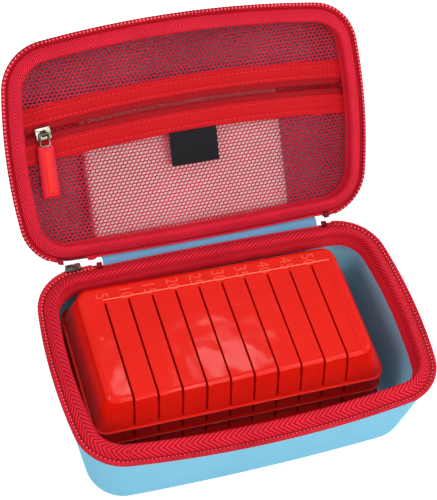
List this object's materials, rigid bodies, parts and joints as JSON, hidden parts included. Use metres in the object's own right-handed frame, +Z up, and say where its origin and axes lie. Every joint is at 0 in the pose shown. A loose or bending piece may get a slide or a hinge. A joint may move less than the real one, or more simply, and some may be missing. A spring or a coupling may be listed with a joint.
{
  "type": "card game case",
  "caption": "Zip-closed hard-shell card game case, open, with nested card racks in the base and a mesh pocket in the lid.",
  "frame": {"origin": "centre of the flat underside of the base", "axes": "+X along the hinge, +Y towards the hinge, +Z up, with the lid open"},
  "size_m": [0.22, 0.2365, 0.1659],
  "materials": {
    "shell_twill": "light blue fine twill laminated on moulded foam",
    "lining_satin": "light blue satin lining",
    "zip_tape": "crimson herringbone zip tape",
    "zip_coil": "crimson nylon coil",
    "hinge_fabric": "light blue fabric leaf",
    "pocket_mesh": "red open diamond mesh",
    "pocket_band": "red plain weave binding with stitch rows",
    "label_weave": "near black woven label, blank",
    "nickel": "warm nickel plate",
    "tab_rubber": "soft red moulded rubber",
    "rack_plastic": "glossy orange-red moulded plastic",
    "coated_card": "coated pale card"
  },
  "bodies": {
    "base": {"base_shell": "shell_twill", "base_lining": "lining_satin", "base_zip_tape": "zip_tape", "base_zip_coil": "zip_coil", "base_zip_stops": "zip_coil", "hinge_strip": "hinge_fabric"},
    "lid": {"lid_shell": "shell_twill", "lid_lining": "lining_satin", "lid_zip_tape": "zip_tape", "lid_zip_coil": "zip_coil", "lid_zip_stops": "zip_coil", "pocket_mesh_upper": "pocket_mesh", "pocket_mesh_lower": "pocket_mesh", "pocket_band_upper": "pocket_band", "pocket_band_lower": "pocket_band", "pocket_zip_tape_upper": "pocket_band", "pocket_zip_tape_lower": "pocket_band", "pocket_zip_coil": "zip_coil", "pocket_zip_stops": "zip_coil", "pocket_label": "label_weave"},
    "pocket_slider": {"pocket_slider": "nickel"},
    "pocket_bail": {"pocket_bail": "nickel"},
    "pocket_pull_tab": {"pocket_pull_tab": "tab_rubber"},
    "main_slider": {"main_slider": "nickel"},
    "main_bail": {"main_bail": "nickel"},
    "main_pull_tab": {"main_pull_tab": "tab_rubber"},
    "card_rack_1": {"card_rack_1": "rack_plastic"},
    "card_rack_2": {"card_rack_2": "rack_plastic"},
    "card_rack_3": {"card_rack_3": "rack_plastic"},
    "card_rack_4": {"card_rack_4": "rack_plastic"},
    "card_pack": {"card_pack": "coated_card"}
  },
  "joints": [
    {"name": "lid_hinge", "type": "hinge", "parent": "base", "child": "lid", "pos_m": [0, 0.0666, 0.06303], "axis": [-1, 0, 0], "range_deg": [-128.9, 0]},
    {"name": "pocket_slider_travel", "type": "hinge", "parent": "lid", "child": "pocket_slider", "pos_m": [0.006, -0.44206, -0.58404], "axis": [0, 0.7782, -0.628], "range_deg": [0, 10.9]},
    {"name": "pocket_bail_swing", "type": "hinge", "parent": "pocket_slider", "child": "pocket_bail", "pos_m": [-0.08602, 0.12046, 0.11891], "axis": [-1, 0, 0], "range_deg": [0, 100]},
    {"name": "pocket_tab_swing", "type": "hinge", "parent": "pocket_bail", "child": "pocket_pull_tab", "pos_m": [-0.08602, 0.11606, 0.11346], "axis": [-1, 0, 0], "range_deg": [0, 70]},
    {"name": "main_slider_travel", "type": "hinge", "parent": "base", "child": "main_slider", "pos_m": [-0.0788, 0.0385, 0.0589], "axis": [0, 0, 1], "range_deg": [0, 80]},
    {"name": "main_bail_swing", "type": "hinge", "parent": "main_slider", "child": "main_bail", "pos_m": [-0.08036, 0.06821, 0.0546], "axis": [0.9986, 0.0523, 0], "range_deg": [0, 40]},
    {"name": "main_tab_swing", "type": "hinge", "parent": "main_bail", "child": "main_pull_tab", "pos_m": [-0.08036, 0.06821, 0.0476], "axis": [0.9986, 0.0523, 0], "range_deg": [0, 30]},
    {"name": "rack_4_lift", "type": "slide", "parent": "base", "child": "card_rack_4", "axis": [0, 0, 1], "range_m": [0, 0.075]},
    {"name": "rack_3_lift", "type": "slide", "parent": "card_rack_4", "child": "card_rack_3", "axis": [0, 0, 1], "range_m": [0, 0.035]},
    {"name": "rack_2_lift", "type": "slide", "parent": "card_rack_3", "child": "card_rack_2", "axis": [0, 0, 1], "range_m": [0, 0.035]},
    {"name": "rack_1_lift", "type": "slide", "parent": "card_rack_2", "child": "card_rack_1", "axis": [0, 0, 1], "range_m": [0, 0.035]},
    {"name": "pack_slide", "type": "slide", "parent": "lid", "child": "card_pack", "axis": [0, 0.628, 0.7782], "range_m": [0, 0.03]}
  ]
}
